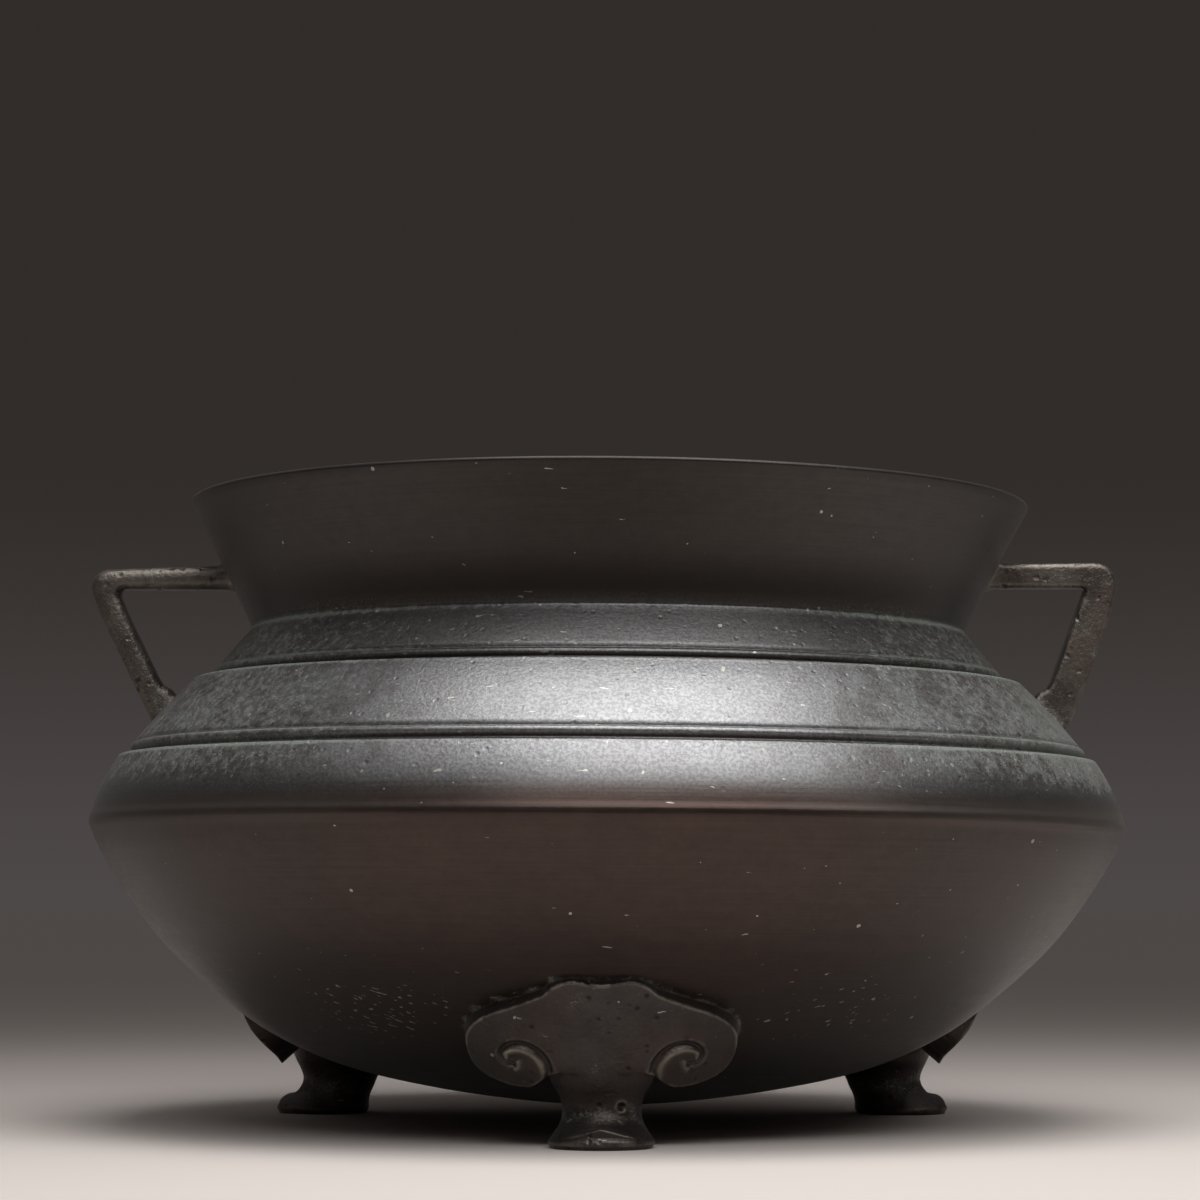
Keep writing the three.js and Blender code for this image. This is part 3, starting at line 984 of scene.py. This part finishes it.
def flecks_group():
    """Dry pale specks and short hair scratches."""
    graph, given, out = shared_group(
        "Dry Flecks", {"Vector": VECTOR, "Amount": 0.2, "Scratches": 0.2},
        {"Mask": NUMBER})
    times = graph.times
    sway = graph.add("ShaderNodeTexNoise", {"Vector": given["Vector"], "Scale": 700.0})
    moved = graph.add("ShaderNodeVectorMath", {
        0: sway.outputs["Color"], 1: (0.0007, 0.0007, 0.0007), 2: given["Vector"]},
        operation="MULTIPLY_ADD").outputs[0]
    cells = graph.add("ShaderNodeTexVoronoi", {"Vector": moved, "Scale": 420.0})
    pick = graph.add("ShaderNodeSeparateColor", {0: cells.outputs["Color"]}).outputs
    speck = graph.math("LESS_THAN", cells.outputs["Distance"], times(pick[1], 0.21))
    speck = times(speck, graph.math("LESS_THAN", pick[0], given["Amount"]))
    hair = graph.largest(*[graph.noise(graph.stretched(
        moved, (110.0, 1150.0, 1150.0), turn, (shift, 0.0, 0.0)), 1.0, 1.0)
        for turn, shift in (((0.5, 0.3, 0.8), 0.0), ((-0.6, 1.1, 2.2), 3.0))])
    level = graph.math("SUBTRACT", 0.8, times(given["Scratches"], 0.2))
    hair = graph.ramp(hair, level, graph.total(level, 0.03))
    graph.feed(out["Mask"], graph.math("MAXIMUM", speck, hair, clamp=True))
    return graph.tree


def patina_group():
    """Dark bronze turning warm, shaded by mottling, with bloom and flecks on it."""
    graph, given, out = shared_group(
        "Patina Colour", {"Dark": COLOUR, "Warm": COLOUR, "Verdigris": COLOUR,
                          "Pale": COLOUR, "Warmth": 0.3, "Mottle": 0.5, "Bloom": 0.0,
                          "Flecks": 0.0}, {"Colour": COLOUR})
    shade = graph.ramp(given["Mottle"], 0.3, 0.7, 0.84, 1.16)
    grey = graph.add("ShaderNodeCombineColor", {0: shade, 1: shade, 2: shade}).outputs[0]
    ground = graph.blend(given["Warmth"], given["Dark"], given["Warm"])
    ground = graph.blend(1.0, ground, grey, "MULTIPLY")
    green = graph.blend(graph.times(given["Bloom"], 0.7), ground, given["Verdigris"])
    skin = graph.blend(graph.times(given["Flecks"], 0.8), green, given["Pale"])
    graph.feed(out["Colour"], skin)
    return graph.tree


GROUP_MAKERS = {"Cast Grain": grain_group, "Verdigris Bloom": bloom_group,
                "Dry Flecks": flecks_group, "Patina Colour": patina_group}


def effect(graph, name, **values):
    """Places a shared group in a material, with its own values."""
    tree = bpy.data.node_groups.get(name) or GROUP_MAKERS[name]()
    node = graph.add("ShaderNodeGroup", node_tree=tree)
    for label, value in values.items():
        graph.feed(node.inputs[label], value)
    return node.outputs


def new_material(name):
    material = bpy.data.materials.new(name)
    material.use_nodes = True
    shader = material.node_tree.nodes["Principled BSDF"]
    shader.inputs["Sheen Weight"].default_value = 0.06
    shader.inputs["Sheen Roughness"].default_value = 0.5
    return material, Graph(material.node_tree), shader


def attribute(graph, name):
    return graph.add("ShaderNodeAttribute", attribute_name=name).outputs["Fac"]


def dress(graph, shader, colour, roughness, bloom, height, depth):
    """Feeds a bronze's shader; its relief is height, 0 to 1, times depth in metres."""
    bump = graph.add("ShaderNodeBump", {"Height": height, "Distance": depth}).outputs[0]
    metal = graph.ramp(bloom, 0.0, 1.0, 0.88, 0.15)
    for label, source in (("Base Color", colour), ("Roughness", roughness),
                          ("Metallic", metal), ("Normal", bump)):
        graph.feed(shader.inputs[label], source)


def opaque(colour):
    return (*colour, 1.0)


# ---------------------------------------------------------------- materials

# Painted shade: the near-black laid under the bowl, at the neck's foot and in the step hollows.
PAINTED_SHADE_DARK = (0.008, 0.006, 0.005, 1)
PIT_DARK = (0.01, 0.008, 0.006, 1)
# Darkens the feet's grooves and their painted shade on lobes and shin.
GROOVE_AND_SHADE_DARK = (0.012, 0.009, 0.007, 1)
# Painted highlight colour for the rounded belly edge.
PAINTED_EDGE_HIGHLIGHT = (0.2, 0.165, 0.142, 1)
STEP_GREEN = (0.27, 0.3, 0.265, 1)
RUBBED_EDGE = (0.25, 0.225, 0.19, 1)
PAINTED_CREST_HIGHLIGHT = (0.36, 0.33, 0.26, 1)
THROAT_DARK, THROAT_PALE = (0.09, 0.105, 0.105, 1), (0.15, 0.165, 0.16, 1)
ROSY_DARK, ROSY_PALE = (0.2, 0.14, 0.12, 1), (0.34, 0.27, 0.24, 1)
BOTTOM_DARK, BOTTOM_PALE = (0.018, 0.014, 0.01, 1), (0.085, 0.075, 0.05, 1)
BOTTOM_GREEN, BOTTOM_CRUST = (0.04, 0.062, 0.052, 1), (0.17, 0.16, 0.1, 1)
RIDGE_RUST, FOOT_MARK = (0.17, 0.062, 0.022, 1), (0.16, 0.05, 0.028, 1)
BODY_RELIEF = 0.00007


def body_bronze(sizes, colours):
    """Turned bronze: dark brown skin, bloom on the shoulder and in its steps."""
    material, graph, shader = new_material("Body bronze")
    times, total, largest, ramp = graph.times, graph.total, graph.largest, graph.ramp
    line, blend, noise = graph.line, graph.blend, graph.noise
    turn = Matrix.Rotation(-sizes.lean, 3, "Y")
    middle = Vector((0, 0, sizes.belly_height))
    where = graph.add("ShaderNodeTexCoord").outputs["Object"]
    upright = graph.stretched(where, (1.0, 1.0, 1.0), (0.0, -sizes.lean, 0.0),
                              tuple(middle - turn @ middle))
    x, y, z = graph.add("ShaderNodeSeparateXYZ", {0: upright}).outputs
    radius = graph.math("SQRT", total(times(x, x), times(y, y)))
    lining, joint = attribute(graph, "lining"), attribute(graph, "joint")

    neck, belly = sizes.neck_height, sizes.belly_height
    off_axis = graph.math("ABSOLUTE", x)
    side = ramp(off_axis, 0.022, 0.092)
    back = ramp(y, -0.01, 0.07)
    shoulder = times(ramp(z, belly, belly + 0.012),
                     ramp(z, neck - 0.001, neck + 0.004, 1.0, 0.0))
    edges = largest(*[line(z, neck + drop * MM, wide * MM) for drop, wide in (
        (-0.3, 1.5), (-9.4, 0.7), (-12.2, 0.9), (-26.8, 0.7), (-30.1, 1.1))])
    hollows = largest(line(z, neck - 11.4 * MM, 0.9 * MM),
                      line(z, neck - 29.0 * MM, 1.1 * MM))

    # Turning lines: slow round the axis, quick along the wall.
    over = graph.math("DIVIDE", 3.0, largest(radius, 0.004))
    rings = graph.add("ShaderNodeCombineXYZ", {
        "X": times(x, over), "Y": times(y, over),
        "Z": total(times(z, 1700.0), times(radius, 900.0))}).outputs[0]
    turning = noise(rings, 1.0, 3.0, 0.6)

    broad = noise(upright, 26.0, 4.0, 0.55)
    mottle = noise(graph.stretched(upright, (1.0, 1.0, 1.6)), 220.0, 5.0, 0.75)
    mottle = total(times(mottle, 0.6), times(turning, 0.4))
    blot = noise(upright, 85.0, 6.0, 0.72)
    warmth = largest(ramp(z, belly + 0.007, belly + 0.0015),
                     ramp(z, neck + 0.002, neck + 0.012, 0.0, 0.15),
                     times(hollows, 0.9),
                     times(shoulder, side, ramp(blot, 0.47, 0.56, 0.0, 1.3)))
    warmth = times(warmth, ramp(broad, 0.3, 0.7, 0.7, 1.0),
                   ramp(side, 0.0, 1.0, 1.0, 0.55))
    # Painted highlight: a light band along the belly edge towards the sides, stronger on the
    # right.
    painted_edge_highlight = times(line(z, belly + 0.0006, 0.0044), total(
        ramp(off_axis, 0.03, 0.08, 0.0, 0.42), ramp(x, 0.06, 0.11, 0.0, 0.35)))
    edge_lines = times(edges, ramp(side, 0.1, 0.8, 0.0, 0.55),
                       ramp(mottle, 0.35, 0.55, 0.4, 1.0))
    pepper = noise(upright, 1500.0, 2.0, 0.7)
    peppered = total(times(mottle, 0.5), ramp(pepper, 0.35, 0.65, -0.15, 0.65))
    # Wear on the shoulder; its cut to 0.4 on the top band under the neck is painted shade.
    worn = times(shoulder, ramp(broad, 0.25, 0.6, 0.75, 1.0),
                 ramp(z, neck - 0.0125, neck - 0.0115, 1.0, 0.4))

    dusty_right = ramp(x, 0.08, 0.115, 0.0, 0.3)
    spread = total(times(largest(side, back), 0.34), 0.22, dusty_right)
    amount = largest(times(shoulder, spread),
                     times(edges, ramp(side, 0.0, 1.0, 0.5, 0.95)),
                     times(joint, 0.85), 0.06)
    amount = times(amount, graph.math("SUBTRACT", 1.0, lining))
    bloom = effect(graph, "Verdigris Bloom", Vector=upright, Amount=amount,
                   Size=0.0018)["Mask"]
    low_belly = times(line(z, 0.028, 0.012), line(off_axis, 0.048, 0.03),
                      ramp(x, 0.0, 0.02, 1.0, 0.6))
    flecks = effect(graph, "Dry Flecks", Vector=upright, Amount=total(
        times(amount, 0.55), times(low_belly, 0.3)),
        Scratches=total(times(shoulder, 0.25), times(low_belly, 0.72)))["Mask"]
    pitting = times(amount, 0.5)
    grain = effect(graph, "Cast Grain", Vector=upright, Size=0.0008, Pits=pitting)

    # Painted sheen: the skin greys towards the left and right sides, less on the lower neck.
    painted_side_sheen = times(ramp(off_axis, 0.0, 0.08), ramp(z, neck + 0.004, neck + 0.02, 0.6, 1.0))
    ground = blend(painted_side_sheen, opaque(colours.dark), opaque(colours.hazed))
    ground = blend(worn, ground, opaque(colours.worn))
    # Painted shade under the bowl: darker towards the bottom, a little less at the sides.
    under = times(ramp(z, 0.06, 0.018, 0.0, 0.45), ramp(off_axis, 0.05, 0.1, 1.0, 0.75))
    skin = effect(graph, "Patina Colour", Dark=blend(under, ground, PAINTED_SHADE_DARK),
                  Warm=blend(under, opaque(colours.warm), PAINTED_SHADE_DARK),
                  Verdigris=opaque(colours.verdigris), Pale=opaque(colours.pale),
                  Warmth=warmth, Mottle=graph.blend_number(shoulder, mottle, peppered),
                  Bloom=bloom, Flecks=flecks)["Colour"]
    # Painted shade at the foot of the neck and, more faintly, in the hollows under the step
    # beads.
    painted_neck_foot_shade = times(ramp(z, neck, neck + 0.001),
                  ramp(z, neck + 0.004, neck + 0.014, 0.65, 0.0))
    skin = blend(largest(times(hollows, 0.3), painted_neck_foot_shade), skin, PAINTED_SHADE_DARK)
    skin = blend(painted_edge_highlight, skin, PAINTED_EDGE_HIGHLIGHT)
    salt = times(ramp(noise(upright, 2300.0, 1.0), 0.59, 0.67),
                 shoulder, ramp(side, 0.1, 0.7, 0.06, 0.5))
    skin = blend(largest(edge_lines, salt), skin, STEP_GREEN)
    inside = lining_colour(graph, sizes, upright, z)
    roughness = total(ramp(mottle, 0.3, 0.7, 0.32, 0.4), times(bloom, 0.25),
                      times(lining, 0.2), times(shoulder, 0.03))
    pitted = times(grain["Height"], total(
        ramp(amount, 0.0, 0.7, 0.25, 1.0), times(shoulder, 0.5)))
    dress(graph, shader, blend(lining, skin, inside), roughness, bloom,
          total(times(turning, 0.35), pitted), BODY_RELIEF)
    return material


def lining_colour(graph, sizes, vector, z):
    """The unpolished inside: rosy by the lip, grey-blue at the throat, mottled below."""
    ramp, blend = graph.ramp, graph.blend
    neck = sizes.neck_height
    blot = graph.noise(vector, 60.0, 6.0, 0.65)
    streak = graph.noise(graph.stretched(vector, (14.0, 90.0, 60.0), (0.0, 0.0, 0.9)),
                         1.0, 5.0, 0.6)
    floor = blend(ramp(blot, 0.42, 0.6), BOTTOM_DARK, BOTTOM_PALE)
    floor = blend(ramp(streak, 0.5, 0.68), floor, BOTTOM_GREEN)
    floor = blend(ramp(blot, 0.62, 0.74), floor, BOTTOM_CRUST)
    throat = blend(ramp(blot, 0.4, 0.62), THROAT_DARK, THROAT_PALE)
    rosy = blend(ramp(blot, 0.35, 0.65), ROSY_DARK, ROSY_PALE)
    inside = blend(ramp(z, neck - 0.0025, neck - 0.0005), floor, throat)
    inside = blend(ramp(z, neck + 0.0088, neck + 0.0105), inside, rosy)
    ridge = graph.line(z, neck + 0.0097, 0.0022)
    inside = blend(graph.times(ridge, 0.8), inside, RIDGE_RUST)
    flat = graph.stretched(vector, (1.0, 1.0, 0.0))
    low = ramp(z, 0.045, 0.05, 1.0, 0.0)
    for degrees in FEET.values():
        angle = math.radians(degrees)
        middle = (FOOT_MIDDLE * math.sin(angle), -FOOT_MIDDLE * math.cos(angle), 0.0)
        gap = graph.add("ShaderNodeVectorMath", {0: flat, 1: middle},
                        operation="DISTANCE").outputs["Value"]
        ring = graph.times(graph.line(gap, 0.0036, 0.0012), low, 0.7)
        inside = blend(ring, inside, FOOT_MARK)
    return inside


def cast_bronze(name, colours, grain_size, pits, relief, bloom_amount, warm, ground):
    """Cast, unturned bronze for handles and feet."""
    material, graph, shader = new_material(name)
    times, ramp, blend = graph.times, graph.ramp, graph.blend
    where = graph.add("ShaderNodeTexCoord").outputs["Object"]
    joint, hollow = attribute(graph, "joint"), attribute(graph, "hollow")
    crest = attribute(graph, "crest")
    mottle = graph.noise(where, 160.0, 5.0, 0.65)
    broad = graph.noise(where, 45.0, 3.0)
    wear = attribute(graph, "wear")
    z = graph.add("ShaderNodeSeparateXYZ", {0: where}).outputs["Z"]
    dusty = graph.line(z, 0.0068, 0.0042)
    amount = graph.total(times(joint, 0.25), bloom_amount, times(dusty, 0.3))
    bloom = effect(graph, "Verdigris Bloom", Vector=where, Amount=amount,
                   Size=0.004)["Mask"]
    flecks = effect(graph, "Dry Flecks", Vector=where, Amount=0.05, Scratches=0.1)["Mask"]
    grain = effect(graph, "Cast Grain", Vector=where, Size=grain_size, Pits=pits)
    skin = effect(graph, "Patina Colour", Dark=opaque(ground),
                  Warm=opaque(colours.warm), Verdigris=opaque(colours.verdigris),
                  Pale=opaque(colours.pale), Mottle=mottle, Bloom=bloom, Flecks=flecks,
                  Warmth=ramp(broad, 0.35, 0.65, 0.1, warm))["Colour"]
    skin = blend(times(grain["Pit Mask"], 0.6), skin, PIT_DARK)
    # Darker grooves, plus painted shade on the plate's lobes and the shin.
    skin = blend(times(hollow, 0.5), skin, GROOVE_AND_SHADE_DARK)
    rubbed = times(wear, ramp(mottle, 0.38, 0.6, 0.1, 0.55))
    skin = blend(rubbed, skin, RUBBED_EDGE)
    # Painted highlight on the volute rolls.
    skin = blend(crest, skin, PAINTED_CREST_HIGHLIGHT)
    roughness = graph.total(ramp(mottle, 0.3, 0.7, 0.34, 0.46), times(bloom, 0.25))
    dress(graph, shader, skin, roughness, bloom, grain["Height"], relief)
    return material


def handle_bronze(colours):
    return cast_bronze("Handle bronze", colours, grain_size=0.0011, pits=0.32,
                       relief=0.00022, bloom_amount=0.3, warm=0.5,
                       ground=(0.135, 0.118, 0.103))


def foot_bronze(colours):
    return cast_bronze("Foot bronze", colours, grain_size=0.0009, pits=0.2,
                       relief=0.00018, bloom_amount=0.24, warm=0.6,
                       ground=[tone * 0.84 for tone in colours.hazed])


# ---------------------------------------------------------------- stage

def area_light(name, location, target, size, spread, power):
    light = bpy.data.lights.new(name, "AREA")
    light.shape, light.size, light.size_y = "RECTANGLE", size[0], size[1]
    light.energy, light.spread = power, math.radians(spread)
    holder = new_object(name, light)
    holder.location = location
    aim = Vector(target) - Vector(location)
    holder.rotation_euler = aim.to_track_quat("-Z", "Y").to_euler()
    return holder


def studio_world(settings):
    """A dark room: dim behind the vessel, a little light from all over the ceiling."""
    world = bpy.data.worlds.new("Studio")
    world.use_nodes = True
    graph = Graph(world.node_tree)
    height = graph.add("ShaderNodeSeparateXYZ", {
        0: graph.add("ShaderNodeTexCoord").outputs["Generated"]}).outputs["Z"]
    wall = graph.blend(graph.ramp(height, -0.02, 0.13), opaque(settings.horizon),
                       opaque(settings.backdrop))
    room = graph.blend(graph.ramp(height, 0.3, 0.65), wall, opaque(settings.ceiling))
    graph.feed(world.node_tree.nodes["Background"].inputs["Color"], room)
    return world


# Name, place, target, size, spread in degrees, and the setting of its power.
LIGHTS = (
    ("soft box", (0.04, -0.17, 0.56), (0.04, -0.17, 0), (0.44, 0.36), 110, "top_light"),
    ("wide box", (0.1, -0.3, 0.62), (0.06, -0.2, 0), (1.3, 0.8), 120, "wide_light"),
    ("front box", (0.14, -0.44, 0.5), (0.03, -0.15, 0.05), (0.8, 0.2), 120, "front_light"))
CAMERA_PLACE = (-1.6 * MM, -820 * MM, 50.6 * MM)
CAMERA_PITCH = 4.97             # degrees above level
SENSOR_WIDTH, FOCAL_LENGTH = 36, 105
FLOOR_REACH = 20.0


class DING_OT_stage(bpy.types.Operator):
    """Lays the pale floor, hangs the lights and sets the camera"""

    bl_idname = "ding.stage"
    bl_label = "Stage"

    def execute(self, context):
        settings, scene = context.scene.vessel_stage, context.scene
        reach = FLOOR_REACH
        mesh = mesh_from("floor", [(-reach, -reach, 0), (reach, -reach, 0),
                                   (reach, reach, 0), (-reach, reach, 0)], [(0, 1, 2, 3)])
        floor = new_object("floor", mesh)
        cloth = bpy.data.materials.new("Floor paper")
        cloth.use_nodes = True
        shader = cloth.node_tree.nodes["Principled BSDF"]
        shader.inputs["Base Color"].default_value = (*settings.floor, 1)
        shader.inputs["Roughness"].default_value = 0.9
        shader.inputs["Specular IOR Level"].default_value = 0.1
        mesh.materials.append(cloth)

        scene.world = studio_world(settings)
        scene.view_settings.view_transform = "Standard"
        for name, place, target, size, spread, power in LIGHTS:
            area_light(name, place, target, size, spread, getattr(settings, power))

        lens = bpy.data.cameras.new("camera")
        lens.sensor_width, lens.lens = SENSOR_WIDTH, FOCAL_LENGTH
        lens.clip_start, lens.clip_end = 0.05, 50
        camera = new_object("camera", lens)
        camera.location = CAMERA_PLACE
        camera.rotation_euler = (math.radians(90 + CAMERA_PITCH), 0, 0)
        scene.camera = camera
        return {"FINISHED"}


# ---------------------------------------------------------------- panel

class DING_PT_panel(bpy.types.Panel):
    """Sizes, colours and steps of the vessel"""

    bl_label = "Bronze Vessel"
    bl_idname = "DING_PT_panel"
    bl_space_type = "VIEW_3D"
    bl_region_type = "UI"
    bl_category = "Vessel"

    def draw(self, context):
        for group in ("vessel_sizes", "bronze_colours", "vessel_stage"):
            settings = getattr(context.scene, group)
            box = self.layout.box()
            for key in settings.__annotations__:
                box.prop(settings, key)
        for step in STEPS_IN_ORDER:
            self.layout.operator(step.bl_idname)


STEPS_IN_ORDER = (DING_OT_body, DING_OT_handles, DING_OT_feet, DING_OT_stage)
GROUPS = {"vessel_sizes": VesselSizes, "bronze_colours": BronzeColours,
          "vessel_stage": StageSettings}


def register():
    for group in (*GROUPS.values(), *STEPS_IN_ORDER, DING_PT_panel):
        bpy.utils.register_class(group)
    for key, group in GROUPS.items():
        setattr(bpy.types.Scene, key, PointerProperty(type=group))


def unregister():
    for key in GROUPS:
        delattr(bpy.types.Scene, key)
    for group in (DING_PT_panel, *reversed(STEPS_IN_ORDER), *GROUPS.values()):
        bpy.utils.unregister_class(group)


def main():
    register()
    bpy.ops.ding.body()
    bpy.ops.ding.handles()
    bpy.ops.ding.feet()
    bpy.ops.ding.stage()


if __name__ == "__main__":
    main()
